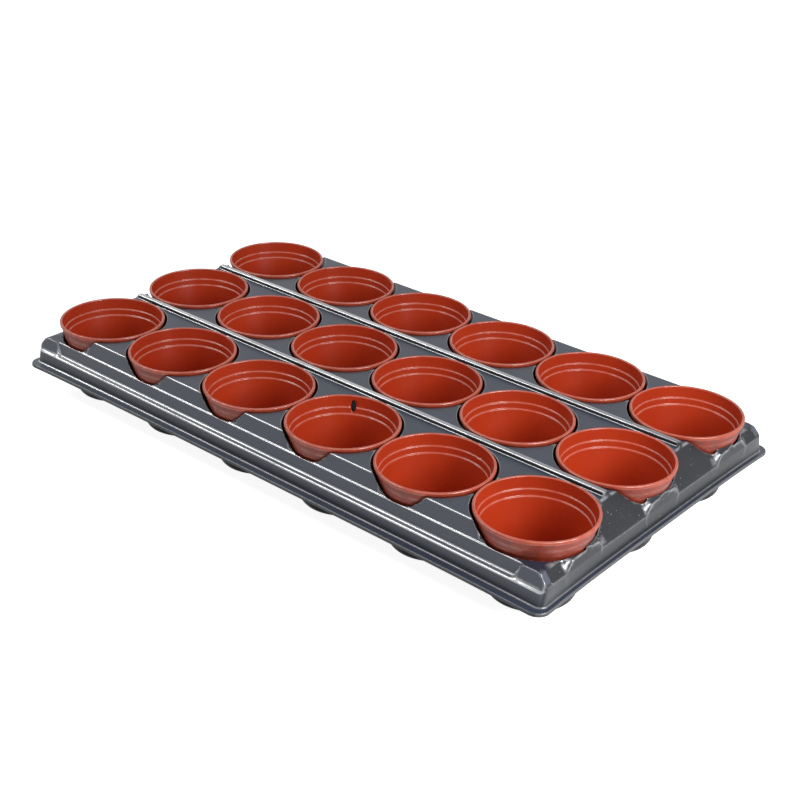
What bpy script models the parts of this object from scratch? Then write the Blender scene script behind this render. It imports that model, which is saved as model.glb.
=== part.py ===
"""Seed tray: a thermoformed carrying tray whose cells hold three rows of six round plant pots.

The tray is one formed sheet: a raised deck with a cell for each pot, a low ridge between the rows,
sloping ends with an upright tab in front of each end pot, a stepped ledge along both long sides, a
skirt all round and a flange at its foot.  The pots stand loose in the cells and lift straight out.

Metres, +Z up.  The origin is at the middle of the tray on the plane that the cells stand on.
X runs along the rows, Y across them.
"""

import math

import bmesh
import bpy

# Layout
COLUMNS = 6
ROWS = 3
POT_GAP_ALONG_ROW = 0.00114
POT_GAP_ACROSS_ROWS = 0.01045

# Pot
POT_HEIGHT = 0.066
POT_RIM_RADIUS = 0.045
POT_BASE_RADIUS = 0.0303
POT_FOOT_CHAMFER = 0.0025
POT_WALL = 0.0012
LIP_HEIGHT = 0.0028
LIP_OVERHANG = 0.0011
BAND_DEPTH = 0.0146
BAND_TAPER = 0.0024
BAND_STEP = 0.0008
POT_DRAIN_COUNT = 4
POT_DRAIN_RADIUS = 0.0035
POT_DRAIN_RING_SHARE = 0.6

# Cells of the tray
SHEET = 0.0010
SEAT_GAP = 0.0003
CELL_MOUTH_CLEARANCE = 0.0023
CELL_NECK_CLEARANCE = 0.0016
CELL_FOOT_CLEARANCE = 0.0012
CELL_FOOT_CHAMFER = 0.0031
CELL_DRAIN_RADIUS = 0.0055

# Heights of the tray, each down from the pots' rims
DECK_BELOW_RIM = 0.0022
LANDING_BELOW_RIM = 0.0155
END_EDGE_BELOW_RIM = 0.0244
LEDGE_BELOW_RIM = 0.0270
FLANGE_BELOW_RIM = 0.0395
RIDGE_HEIGHT = 0.0035

# Outline of the tray, each out from the step before it
END_LANDING = 0.0008
SIDE_WALL = 0.0010
DECK_SET_BACK = 0.0030
SIDE_WALL_DRAFT = 0.0015
LEDGE_WIDTH = 0.0045
SIDE_SKIRT_DRAFT = 0.0020
END_SKIRT_DRAFT = 0.0013
RAMP_LENGTH = 0.0181
FLANGE_SIDE_WIDTH = 0.0068
FLANGE_END_WIDTH = 0.0041
FLANGE_LIP = 0.0016
FLANGE_LIP_WALL = 0.0010
SKIRT_CORNER_RADIUS = 0.006
FLANGE_CORNER_RADIUS = 0.010
SIDE_BOW = 0.0022
END_BOW = 0.0018

# Tabs, corner blocks and ridges
TAB_OUTER_HALF_WIDTH = 0.0155
TAB_INNER_HALF_WIDTH = 0.0220
CORNER_BLOCK_LENGTH = 0.0185
CORNER_BLOCK_SLOPE = 0.0048
CORNER_BLOCK_LEAN = 0.0030
RIDGE_TOP_HALF_WIDTH = 0.0021
RIDGE_BASE_HALF_WIDTH = 0.0029
RIDGE_NOSE = 0.0020

# Counts of facets
SEGMENTS = 24
CORNER_SEGMENTS = 3
BOW_SEGMENTS = 6
DRAIN_SEGMENTS = 6
OVERCUT = 0.010

# Colours, roughness
TRAY_COLOUR = (0.075, 0.080, 0.095, 1.0)
TRAY_ROUGHNESS = 0.35
POT_COLOUR = (0.42, 0.075, 0.030, 1.0)
POT_ROUGHNESS = 0.40

# Places that follow from the sizes above
PITCH_X = 2.0 * POT_RIM_RADIUS + POT_GAP_ALONG_ROW
PITCH_Y = 2.0 * POT_RIM_RADIUS + POT_GAP_ACROSS_ROWS
POT_FOOT_Z = SHEET + SEAT_GAP
RIM_Z = POT_FOOT_Z + POT_HEIGHT
DECK_Z = RIM_Z - DECK_BELOW_RIM
LANDING_Z = RIM_Z - LANDING_BELOW_RIM
END_EDGE_Z = RIM_Z - END_EDGE_BELOW_RIM
LEDGE_Z = RIM_Z - LEDGE_BELOW_RIM
FLANGE_Z = RIM_Z - FLANGE_BELOW_RIM
BAND_BOTTOM_RADIUS = POT_RIM_RADIUS - LIP_OVERHANG - BAND_TAPER
CELL_MOUTH_RADIUS = POT_RIM_RADIUS + CELL_MOUTH_CLEARANCE
CELL_NECK_RADIUS = BAND_BOTTOM_RADIUS - BAND_STEP + CELL_NECK_CLEARANCE
CELL_FOOT_RADIUS = POT_BASE_RADIUS + CELL_FOOT_CLEARANCE
END_POT_X = (COLUMNS - 1) / 2.0 * PITCH_X
SIDE_POT_Y = (ROWS - 1) / 2.0 * PITCH_Y
WALL_TOP_Y = SIDE_POT_Y + CELL_NECK_RADIUS + SIDE_WALL
WALL_FOOT_Y = WALL_TOP_Y + SIDE_WALL_DRAFT
DECK_Y = WALL_TOP_Y - DECK_SET_BACK
LEDGE_Y = WALL_FOOT_Y + LEDGE_WIDTH
SKIRT_FOOT_Y = LEDGE_Y + SIDE_SKIRT_DRAFT
TAB_TOP_X = END_POT_X + CELL_NECK_RADIUS + END_LANDING
SKIRT_FOOT_X = TAB_TOP_X + END_SKIRT_DRAFT
END_DRAFT = END_SKIRT_DRAFT / (LANDING_Z - FLANGE_Z)
CELL_TAPER = (CELL_NECK_RADIUS - CELL_FOOT_RADIUS) / (LANDING_Z - SHEET)
CELL_TURN = math.pi / 2.0 / SEGMENTS


def end_wall_x(z):
    """How far out the upright end wall stands at height z, on its draft."""
    return SKIRT_FOOT_X - END_DRAFT * (z - FLANGE_Z)


RAMP_TOP_X = end_wall_x(END_EDGE_Z) - RAMP_LENGTH
RAMP_SLOPE = (DECK_Z - END_EDGE_Z) / RAMP_LENGTH
RAMP_LANDING_X = RAMP_TOP_X + (DECK_Z - LANDING_Z) / RAMP_SLOPE
BLOCK_TOP_Y = LEDGE_Y - CORNER_BLOCK_SLOPE
BLOCK_START_X = RAMP_LANDING_X - CORNER_BLOCK_LENGTH + CORNER_BLOCK_LEAN


def clear_scene():
    """Remove every object that the file opened with."""
    for obj in list(bpy.data.objects):
        bpy.data.objects.remove(obj, do_unlink=True)


def new_collection(name):
    """A collection of that name under the scene's own."""
    collection = bpy.data.collections.new(name)
    bpy.context.scene.collection.children.link(collection)
    return collection


def principled(name, colour, roughness):
    """A plain material with one colour and one roughness."""
    material = bpy.data.materials.new(name)
    material.use_nodes = True
    shader = material.node_tree.nodes["Principled BSDF"]
    shader.inputs["Base Color"].default_value = colour
    shader.inputs["Roughness"].default_value = roughness
    shader.inputs["Metallic"].default_value = 0.0
    return material


def link_new(name, mesh, collection):
    """A new object of that mesh in the collection, drawn as wire when it only shapes another."""
    obj = bpy.data.objects.new(name, mesh)
    collection.objects.link(obj)
    if collection.name.startswith("guides"):
        obj.hide_render = True
        obj.display_type = "WIRE"
    return obj


def rounded_outline(half_x, half_y, radius, bow=None):
    """Points anticlockwise round a rectangle centred on the origin, with arcs at its corners.

    With a bow, points between the corners draw the long sides in by bow * SIDE_BOW * (1 - s^4)
    and the ends by bow * END_BOW * (1 - s^4), s running from 1 to -1 along each side.
    """
    points = []
    for quarter in range(4):
        turn = quarter * math.pi / 2.0
        sign_x = 1.0 if quarter in (0, 3) else -1.0
        sign_y = 1.0 if quarter in (0, 1) else -1.0
        for step in range(CORNER_SEGMENTS + 1):
            angle = turn + step * math.pi / 2.0 / CORNER_SEGMENTS
            x = sign_x * (half_x - radius) + radius * math.cos(angle)
            y = sign_y * (half_y - radius) + radius * math.sin(angle)
            points.append((x, y))
        if bow is None:
            continue
        for step in range(1, BOW_SEGMENTS):
            s = 1.0 - 2.0 * step / BOW_SEGMENTS
            draw_in = bow * (1.0 - s ** 4)
            if quarter in (0, 2):
                points.append((sign_x * s * (half_x - radius), sign_y * (half_y - draw_in * SIDE_BOW)))
            else:
                points.append((sign_x * (half_x - draw_in * END_BOW), sign_y * s * (half_y - radius)))
    return points


def loft(name, sections, collection):
    """A closed solid through level sections, each (height, outline), all with as many points."""
    bm = bmesh.new()
    rings = [[bm.verts.new((x, y, z)) for x, y in outline] for z, outline in sections]
    count = len(rings[0])
    for lower, upper in zip(rings, rings[1:]):
        for i in range(count):
            j = (i + 1) % count
            bm.faces.new((lower[i], lower[j], upper[j], upper[i]))
    bm.faces.new(list(reversed(rings[0])))
    bm.faces.new(rings[-1])
    mesh = bpy.data.meshes.new(name)
    bm.to_mesh(mesh)
    bm.free()
    return link_new(name, mesh, collection)


def hull(name, points, collection):
    """The smallest convex solid that holds the points."""
    bm = bmesh.new()
    verts = [bm.verts.new(point) for point in points]
    result = bmesh.ops.convex_hull(bm, input=verts)
    spare = set(result["geom_interior"]) | set(result["geom_unused"])
    bmesh.ops.delete(bm, geom=[v for v in spare if isinstance(v, bmesh.types.BMVert)], context="VERTS")
    bmesh.ops.recalc_face_normals(bm, faces=bm.faces)
    mesh = bpy.data.meshes.new(name)
    bm.to_mesh(mesh)
    bm.free()
    return link_new(name, mesh, collection)


def box(name, low, high, collection):
    """A rectangular block between two corners."""
    points = [(x, y, z) for x in (low[0], high[0]) for y in (low[1], high[1]) for z in (low[2], high[2])]
    return hull(name, points, collection)


def turned_mesh(name, profile, segments):
    """The mesh of a profile of (radius, height) points, top to bottom, turned once about Z."""
    mesh = bpy.data.meshes.new(name)
    verts = [(radius, 0.0, z) for radius, z in profile]
    mesh.from_pydata(verts, [(i, i + 1) for i in range(len(verts) - 1)], [])
    obj = bpy.data.objects.new(name, mesh)
    bpy.context.scene.collection.objects.link(obj)
    screw = obj.modifiers.new("turn", "SCREW")
    screw.axis = "Z"
    screw.angle = 2.0 * math.pi
    screw.steps = segments
    screw.render_steps = segments
    screw.use_merge_vertices = True
    screw.merge_threshold = 0.00002
    screw.use_smooth_shade = False
    result = bpy.data.meshes.new_from_object(obj.evaluated_get(bpy.context.evaluated_depsgraph_get()))
    result.name = name
    bpy.data.objects.remove(obj, do_unlink=True)
    bpy.data.meshes.remove(mesh)
    return result


def boolean(obj, operation, other):
    """Join, cut or cross obj with another object, or with all the objects of a collection."""
    modifier = obj.modifiers.new(operation.lower(), "BOOLEAN")
    modifier.operation = operation
    modifier.solver = "EXACT"
    if isinstance(other, bpy.types.Collection):
        modifier.operand_type = "COLLECTION"
        modifier.collection = other
    else:
        modifier.object = other
    return modifier


def pot_places():
    """Every pot's row, column and centre, rows from the near side and columns from the far end."""
    for row in range(ROWS):
        for column in range(COLUMNS):
            x = (column - (COLUMNS - 1) / 2.0) * PITCH_X
            y = (row - (ROWS - 1) / 2.0) * PITCH_Y
            yield row + 1, column + 1, x, y


def tray_form(name, inset, foot_z, guides):
    """The tray's body as a solid lump, all its faces drawn in by inset, down to foot_z.

    The skirt and the stepped core are lofts.  The corner blocks and the tabs are convex lumps on
    them, and at each corner everything above the landing is cut away beside the end pot.
    """
    low = END_EDGE_Z - inset
    ledge = LEDGE_Z - inset
    landing = LANDING_Z - inset
    deck = DECK_Z - inset
    radius = SKIRT_CORNER_RADIUS - inset
    ramp_landing_x = RAMP_LANDING_X - inset
    foot = rounded_outline(end_wall_x(FLANGE_Z) - inset, SKIRT_FOOT_Y - inset, radius, 1.0)
    skirt_top = rounded_outline(end_wall_x(LEDGE_Z) - inset, LEDGE_Y - inset, radius, 0.0)
    sections = [(FLANGE_Z, foot), (ledge, skirt_top)]
    if foot_z < FLANGE_Z:
        sections.insert(0, (foot_z, foot))
    skirt = loft(name, sections, guides)
    pieces = new_collection("guides " + name + " pieces")
    loft(name + " core", [
        (ledge - SHEET, rounded_outline(RAMP_TOP_X, DECK_Y - inset, radius)),
        (ledge, rounded_outline(end_wall_x(LEDGE_Z) - inset, WALL_FOOT_Y - inset, radius)),
        (low, rounded_outline(end_wall_x(END_EDGE_Z) - inset, WALL_FOOT_Y - inset, radius)),
        (landing, rounded_outline(ramp_landing_x, WALL_TOP_Y - inset, radius)),
        (deck, rounded_outline(RAMP_TOP_X - inset, DECK_Y - inset, radius)),
    ], pieces)
    cuts = new_collection("guides " + name + " cuts")
    for side_x in (-1.0, 1.0):
        for side_y in (-1.0, 1.0):
            corner_block(name, side_x, side_y, inset, pieces)
            box(name + " corner cut",
                (side_x * (END_POT_X - inset), side_y * (SIDE_POT_Y - inset), landing),
                (side_x * (SKIRT_FOOT_X + OVERCUT), side_y * (SKIRT_FOOT_Y + OVERCUT), DECK_Z + OVERCUT),
                cuts)
        for row in range(ROWS):
            y = (row - (ROWS - 1) / 2.0) * PITCH_Y
            tab(name, side_x, y, inset, pieces)
    boolean(skirt, "UNION", pieces)
    boolean(skirt, "DIFFERENCE", cuts)
    return skirt


def corner_block(name, side_x, side_y, inset, pieces):
    """A corner's sloping block, where the ledge stops: its top is level with the landing."""
    low = END_EDGE_Z - inset
    landing = LANDING_Z - inset
    ledge = LEDGE_Z - inset
    foot_y = LEDGE_Y - inset
    top_y = BLOCK_TOP_Y - inset
    inner_y = SIDE_POT_Y
    start = BLOCK_START_X + inset
    end_low = end_wall_x(END_EDGE_Z) - inset
    end_ledge = end_wall_x(LEDGE_Z) - inset
    chamfer = SKIRT_CORNER_RADIUS / 3.0
    points = []
    for x, y, z in (
        (start - CORNER_BLOCK_LEAN, foot_y, ledge), (end_ledge - chamfer, foot_y, ledge),
        (end_ledge, foot_y - chamfer, ledge), (end_ledge, inner_y, ledge),
        (start - CORNER_BLOCK_LEAN, inner_y, ledge),
        (end_low - chamfer, foot_y, low), (end_low, foot_y - chamfer, low), (end_low, inner_y, low),
        (start, top_y, landing), (RAMP_LANDING_X - inset, top_y, landing),
        (RAMP_LANDING_X - inset, inner_y, landing), (start, inner_y, landing),
    ):
        points.append((side_x * x, side_y * y, z))
    hull(name + " corner block", points, pieces)


def tab(name, side_x, y, inset, pieces):
    """The upright tab in front of one end pot, its sides splayed back to meet the ramps."""
    low = END_EDGE_Z - inset
    landing = LANDING_Z - inset
    points = []
    for side_y in (-1.0, 1.0):
        outer = side_y * (TAB_OUTER_HALF_WIDTH - inset)
        inner = side_y * (TAB_INNER_HALF_WIDTH - inset)
        points.append((side_x * (TAB_TOP_X - inset), y + outer, landing))
        points.append((side_x * (RAMP_LANDING_X - inset), y + inner, landing))
        points.append((side_x * END_POT_X, y + inner, landing))
        points.append((side_x * (end_wall_x(END_EDGE_Z) - inset), y + inner, low))
        points.append((side_x * END_POT_X, y + inner, low))
    hull(name + " tab", points, pieces)


def add_flange(tray, guides):
    """The flange round the foot of the skirt, with its edge turned down."""
    foot = FLANGE_Z - FLANGE_LIP
    outer = rounded_outline(SKIRT_FOOT_X + FLANGE_END_WIDTH, SKIRT_FOOT_Y + FLANGE_SIDE_WIDTH,
                            FLANGE_CORNER_RADIUS, 1.0)
    plate = loft("flange", [(foot, outer), (FLANGE_Z + SHEET, outer)], guides)
    inner = rounded_outline(SKIRT_FOOT_X + FLANGE_END_WIDTH - FLANGE_LIP_WALL,
                            SKIRT_FOOT_Y + FLANGE_SIDE_WIDTH - FLANGE_LIP_WALL,
                            FLANGE_CORNER_RADIUS - FLANGE_LIP_WALL, 1.0)
    recess = loft("flange recess", [(foot - OVERCUT, inner), (FLANGE_Z, inner)], guides)
    boolean(tray, "UNION", plate)
    boolean(tray, "DIFFERENCE", recess)


def add_ridges(tray, guides):
    """A low ridge along the deck between each two rows, its ends drawn in at the top."""
    for gap in range(ROWS - 1):
        y = (gap + 1 - ROWS / 2.0) * PITCH_Y
        points = []
        for side_x in (-1.0, 1.0):
            for side_y in (-1.0, 1.0):
                base = (side_x * RAMP_TOP_X, y + side_y * RIDGE_BASE_HALF_WIDTH)
                top = (side_x * (RAMP_TOP_X - RIDGE_NOSE), y + side_y * RIDGE_TOP_HALF_WIDTH)
                points.append((base[0], base[1], DECK_Z - SHEET / 2.0))
                points.append((base[0], base[1], DECK_Z))
                points.append((top[0], top[1], DECK_Z + RIDGE_HEIGHT))
        boolean(tray, "UNION", hull("ridge", points, guides))


def cell_profile(grow, floor_z):
    """Radius and height down a cell's side: flared to the landing, a long taper, a chamfered foot.

    A chamfer drawn on a face that is moved out by grow is longer by (2 - sqrt(2)) * grow.
    """
    flare = (CELL_MOUTH_RADIUS - CELL_NECK_RADIUS) / (DECK_Z - LANDING_Z)
    top_z = DECK_Z + OVERCUT
    top_radius = CELL_MOUTH_RADIUS + flare * OVERCUT + grow
    foot_radius = CELL_FOOT_RADIUS + grow
    chamfer = CELL_FOOT_CHAMFER + (2.0 - math.sqrt(2.0)) * grow
    return [(0.0, top_z), (top_radius, top_z), (CELL_NECK_RADIUS + grow, LANDING_Z),
            (foot_radius + CELL_TAPER * chamfer, floor_z + chamfer), (foot_radius - chamfer, floor_z),
            (0.0, floor_z)]


def add_cells(tray, guides):
    """A thin-walled cell for each pot, open at the top, with a drain hole in its floor.

    Walls and bores are turned a quarter of a facet, so that where two neighbouring cells cross,
    the corners of one cell's facets fall within the facets of the other.
    """
    core = tray_form("tray middle", SHEET / 2.0, -OVERCUT, guides)
    wall_mesh = turned_mesh("cell wall", cell_profile(SHEET, 0.0), SEGMENTS)
    bore_mesh = turned_mesh("cell bore", cell_profile(0.0, SHEET), SEGMENTS)
    drain_mesh = turned_mesh("cell drain", [
        (0.0, SHEET + OVERCUT), (CELL_DRAIN_RADIUS, SHEET + OVERCUT),
        (CELL_DRAIN_RADIUS, -OVERCUT), (0.0, -OVERCUT)], 2 * DRAIN_SEGMENTS)
    walls = new_collection("guides cell walls")
    bores = new_collection("guides cell bores")
    drains = new_collection("guides cell drains")
    for row, column, x, y in pot_places():
        label = f" {row} {column}"
        wall = link_new("cell wall" + label, wall_mesh, walls)
        bore = link_new("cell bore" + label, bore_mesh, bores)
        drain = link_new("cell drain" + label, drain_mesh, drains)
        for piece in (wall, bore, drain):
            piece.location = (x, y, 0.0)
        for piece in (wall, bore):
            piece.rotation_euler.z = CELL_TURN
        boolean(wall, "INTERSECT", core)
    boolean(tray, "UNION", walls)
    boolean(tray, "DIFFERENCE", bores)
    boolean(tray, "DIFFERENCE", drains)


def build_tray(collection, guides):
    """The tray: its body hollowed from below, with flange, ridges and cells."""
    body = tray_form("tray", 0.0, FLANGE_Z, guides)
    guides.objects.unlink(body)
    collection.objects.link(body)
    body.hide_render = False
    body.display_type = "TEXTURED"
    add_flange(body, guides)
    hollow = tray_form("tray hollow", SHEET, FLANGE_Z - OVERCUT, guides)
    add_ridges(body, guides)
    boolean(body, "DIFFERENCE", hollow)
    add_cells(body, guides)
    body.data.materials.append(principled("tray plastic", TRAY_COLOUR, TRAY_ROUGHNESS))
    return body


def pot_profile():
    """Radius and height over the pot: down its outside, in along its base, up its inside."""
    collar = POT_RIM_RADIUS - LIP_OVERHANG
    band_z = POT_HEIGHT - BAND_DEPTH
    shoulder = BAND_BOTTOM_RADIUS - BAND_STEP
    side_taper = (shoulder - POT_BASE_RADIUS) / band_z
    foot_radius = POT_BASE_RADIUS - POT_FOOT_CHAMFER
    side_radius = POT_BASE_RADIUS + side_taper * POT_FOOT_CHAMFER
    return [
        (POT_RIM_RADIUS, POT_HEIGHT),
        (POT_RIM_RADIUS, POT_HEIGHT - LIP_HEIGHT),
        (collar, POT_HEIGHT - LIP_HEIGHT),
        (BAND_BOTTOM_RADIUS, band_z),
        (shoulder, band_z),
        (side_radius, POT_FOOT_CHAMFER),
        (foot_radius, 0.0),
        (0.0, 0.0),
    ], [
        (0.0, POT_WALL),
        (foot_radius, POT_WALL),
        (side_radius - POT_WALL, POT_FOOT_CHAMFER + POT_WALL / 2.0),
        (shoulder - POT_WALL, band_z - POT_WALL),
        (BAND_BOTTOM_RADIUS - POT_WALL, band_z),
        (collar - POT_WALL, POT_HEIGHT),
    ]


def build_pots(collection, guides):
    """The pots, all alike, each standing in its own cell."""
    outside, inside = pot_profile()
    drains = pot_drains(guides)
    shell = link_new("pot shell", turned_mesh("pot shell", closed_profile(outside, inside), SEGMENTS), guides)
    boolean(shell, "DIFFERENCE", drains)
    mesh = bpy.data.meshes.new_from_object(shell.evaluated_get(bpy.context.evaluated_depsgraph_get()))
    mesh.name = "pot"
    mesh.shade_smooth()
    mesh.set_sharp_from_angle(angle=math.radians(30.0))
    mesh.materials.append(principled("pot plastic", POT_COLOUR, POT_ROUGHNESS))
    for row, column, x, y in pot_places():
        pot = link_new(f"pot_r{row}_c{column}", mesh, collection)
        pot.location = (x, y, POT_FOOT_Z)


def closed_profile(outside, inside):
    """One closed run of points: the outside from its rim to its base, then the inside back up."""
    return outside + inside + [outside[0]]


def pot_drains(guides):
    """The drain holes in a pot's base, as one cutter: rods evenly round a ring."""
    bm = bmesh.new()
    ring = POT_DRAIN_RING_SHARE * POT_BASE_RADIUS
    for index in range(POT_DRAIN_COUNT):
        angle = 2.0 * math.pi * index / POT_DRAIN_COUNT
        made = bmesh.ops.create_cone(bm, cap_ends=True, segments=DRAIN_SEGMENTS, radius1=POT_DRAIN_RADIUS,
                                     radius2=POT_DRAIN_RADIUS, depth=2.0 * OVERCUT)
        bmesh.ops.translate(bm, verts=made["verts"], vec=(ring * math.cos(angle), ring * math.sin(angle), 0.0))
    mesh = bpy.data.meshes.new("pot drains")
    bm.to_mesh(mesh)
    bm.free()
    return link_new("pot drains", mesh, guides)


def main():
    clear_scene()
    parts = new_collection("seed tray")
    guides = new_collection("guides")
    build_tray(parts, guides)
    build_pots(parts, guides)


main()
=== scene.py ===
import math

import bpy
import numpy as np
from mathutils import Matrix, Vector
from mathutils.geometry import delaunay_2d_cdt


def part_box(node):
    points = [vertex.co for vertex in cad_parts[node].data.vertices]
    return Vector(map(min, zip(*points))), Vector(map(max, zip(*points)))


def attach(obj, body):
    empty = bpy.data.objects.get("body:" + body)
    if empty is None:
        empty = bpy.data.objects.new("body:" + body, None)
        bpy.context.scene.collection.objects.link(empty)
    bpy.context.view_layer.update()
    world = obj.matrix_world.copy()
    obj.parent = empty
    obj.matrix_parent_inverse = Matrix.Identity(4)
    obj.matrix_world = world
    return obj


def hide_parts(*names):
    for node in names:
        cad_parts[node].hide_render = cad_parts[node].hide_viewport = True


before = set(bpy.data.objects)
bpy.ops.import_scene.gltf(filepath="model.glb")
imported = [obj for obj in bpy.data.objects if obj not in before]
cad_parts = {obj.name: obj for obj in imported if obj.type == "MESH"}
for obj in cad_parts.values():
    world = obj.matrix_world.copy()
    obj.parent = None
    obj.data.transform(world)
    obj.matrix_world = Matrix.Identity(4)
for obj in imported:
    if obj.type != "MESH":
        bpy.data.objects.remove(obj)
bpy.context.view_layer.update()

# Shapes are worked out in millimetres, in the frame's axes, and written to the meshes in metres.
MM = 0.001

# Places of the pots
PITCH_X = 91.14
PITCH_Y = 100.45
END_POT = 2.5 * PITCH_X
SIDE_POT = PITCH_Y

# Heights of the tray
RIDGE_TOP = 68.6
DECK = 65.1
LANDING = 51.8
END_EDGE = 42.9
LEDGE = 40.3
FLANGE_TOP = 28.8
FLANGE = 27.8
LIP_FOOT = 26.2
FLOOR = 1.0

# The long sides, out from the middle line
DECK_EDGE_Y = 140.75
SLANT_FOOT_Y = 142.80
WALL_TOP_Y = 143.75
WALL_FOOT_Y = 145.25
LEDGE_EDGE_Y = 149.75
SKIRT_DRAFT_Y = 0.16
BLOCK_TOP_Y = 144.95
BLOCK_FOOT_Y = 148.3
FLANGE_Y = 158.55

# The ends, out from the middle line
RAMP_TOP_X = 253.33
RAMP_LANDING_X = 264.17
RAMP_FOOT_X = 271.43
END_WALL_FOOT_X = 272.25
END_DRAFT = 0.0542
BLOCK_START_X = 248.67
BLOCK_LEAN = 3.0
FLANGE_X = 276.35
TAB_OUTER = 15.5
TAB_INNER = 22.0
TAB_TOP_X = 270.95
SKIRT_CORNER = 6.0
FLANGE_CORNER = 10.0

# How far the skirt's foot is drawn in at the middle of each side
SIDE_BOW = 2.2
END_BOW = 1.8

# Cells and ridges
CELL_MOUTH = 46.9
CELL_NECK = 42.3
CELL_FOOT = 31.5
CELL_DRAIN = 5.5
RIDGE_TOP_HALF = 2.1
RIDGE_BASE_HALF = 2.9
RIDGE_NOSE = 2.0
RIDGE_SUNK = 2.0

# At the end tabs: the straight bore's radius, how much wider a cell may be elsewhere, the raised
# collar and how far out it falls, and the cosine of the turn from the end at which these fade
CELL_TAB = 42.2
CELL_WIDER = 6.0
COLLAR = 3.0
COLLAR_SPREAD = 1.6
TAB_COSINE = 0.84
TAB_COSINE_FADE = 0.07

# Radii of the formed outer edges
EDGE = 0.9
BLOCK_EDGE = 1.0
RAMP_EDGE = 1.2
RAMP_EDGE_LESS = 0.6
LEDGE_EDGE_MORE = 0.8
CELL_EDGE = 0.7
CELL_EDGE_LESS = 0.4
SADDLE_EDGE = 1.1
RIDGE_EDGE = 1.3
CELL_FLARE = 2.5

# Radii of the formed inner corners
CREASE = 0.5
TAB_FILLET = 0.8
LEDGE_FILLET = 1.6
LEDGE_FILLET_LESS = 0.9
FOOT_FILLET = 1.2
CELL_FILLET = 4.5

# What turns a level distance into one square to a steep face, and how much the flange's rim leans
STEEP = 0.99
RIM_LEAN = 0.05

# The sheet, how much thinner it is at the end tabs, and a distance that clears everything
SHEET = 0.8
TAB_THINNER = 0.5
FAR = 60.0

# Most places in the tray's plan
PLACES = 47500

# The pots: steps round the axis, and the drain holes' radius, distance out and reach
POT_STEPS = 96
DRAIN_RADIUS = 3.5
DRAIN_OUT = 18.2
DRAIN_REACH = 6.0

# The slot in the upper band of one pot: its turn about the pot's axis, its height, its half axes,
# and from which radius to which it is cut
SLOT_POT = "pot_r1_c4"
SLOT_TURN = math.radians(121.0)
SLOT_HEIGHT = 57.5
SLOT_HALF_WIDTH = 2.1
SLOT_HALF_HEIGHT = 5.0
SLOT_INNER = 37.0
SLOT_OUTER = 47.0

# The crisp bends of a pot, (radius, height): its lip, its outer bands and its inner steps
POT_BENDS = (
    (44.95, 63.2), (45.0, 66.0), (42.85, 66.0), (43.85, 62.9), (42.95, 57.7), (42.55, 57.3),
    (41.52, 51.7), (40.72, 51.0), (41.75, 56.7), (40.95, 56.1), (40.25, 51.6), (39.35, 50.9))

# The middle of a pot's wall: heights, and the radius at each
WALL_HEIGHTS = (0.0, 50.9, 51.8, 56.4, 57.5, 62.9, 66.0)
WALL_RADII = (29.7, 40.05, 40.95, 41.65, 42.35, 43.1, 43.9)

# Sides of the bars that cut the drain holes and the slot
BAR_SIDES = 28

# The surround's strength as light, and the floor's where it is seen and mirrored: 1 is white
AMBIENT = 0.20
FLOOR_SEEN = 0.90
FLOOR_MIRRORED = 0.42

# The photograph's camera, in degrees and metres
CAMERA_AZIMUTH = 39.80
CAMERA_ELEVATION = 27.11
CAMERA_ROLL = 2.08
CAMERA_DISTANCE = 1.1802
CAMERA_ACROSS = 0.0125
CAMERA_DOWN = 0.0316
CAMERA_AIM_HEIGHT = 0.0673
CAMERA_LENS = 64.08


def meet(a, b, r):
    """Where two half-spaces meet in an outer edge: the larger distance, rounded by radius r."""
    corner = np.hypot(np.maximum(a + r, 0.0), np.maximum(b + r, 0.0))
    return np.minimum(np.maximum(a, b), -r) + corner


def join(a, b, r):
    """Where two lumps join in an inner corner: the smaller distance, rounded by radius r."""
    corner = np.hypot(np.maximum(r - a, 0.0), np.maximum(r - b, 0.0))
    return np.maximum(np.minimum(a, b), r) - corner


def slope(u, z, top, foot):
    """Distance outside a face that falls outwards from top to foot, each (place, height)."""
    run = foot[0] - top[0]
    drop = top[1] - foot[1]
    return ((u - top[0]) * drop + (z - top[1]) * run) / math.hypot(run, drop)


def bore(rho, z):
    """Distance inside a cell: a flare above the landing, a long taper, and a rounded foot."""
    flare = slope(rho, z, (CELL_NECK, LANDING), (CELL_MOUTH, DECK))
    taper = slope(rho, z, (CELL_FOOT, FLOOR), (CELL_NECK, LANDING))
    return join(meet(flare, taper, CELL_FLARE), z - FLOOR, CELL_FILLET)


def rounded_box(x, y, half_x, half_y, r):
    """Distance outside an upright box with rounded corners, seen from above."""
    over_x = x - half_x + r
    over_y = y - half_y + r
    outside = np.hypot(np.maximum(over_x, 0.0), np.maximum(over_y, 0.0))
    return outside + np.minimum(np.maximum(over_x, over_y), 0.0) - r


def from_rim(x, y):
    """Distance outside the flange's outline, seen from above."""
    return rounded_box(np.abs(x), np.abs(y), FLANGE_X, FLANGE_Y, FLANGE_CORNER)


def full_turn(steps):
    """Even angles once round."""
    return np.linspace(0.0, 2.0 * math.pi, steps, endpoint=False)


def from_cell(x, y):
    """The nearest cell's column, counted from the middle, and how far a place lies from its axis.

    The second and third are the distances outwards, along the tray and across it.
    """
    ax = np.abs(x)
    ay = np.abs(y)
    column = np.clip(np.floor(ax / PITCH_X), 0.0, 2.0)
    return column, ax - (column + 0.5) * PITCH_X, np.where(ay > 0.5 * PITCH_Y, ay - PITCH_Y, ay)


def from_axis(x, y):
    """Distance of a place from the axis of the nearest cell, by Pythagoras."""
    return np.hypot(*from_cell(x, y)[1:])


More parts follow.
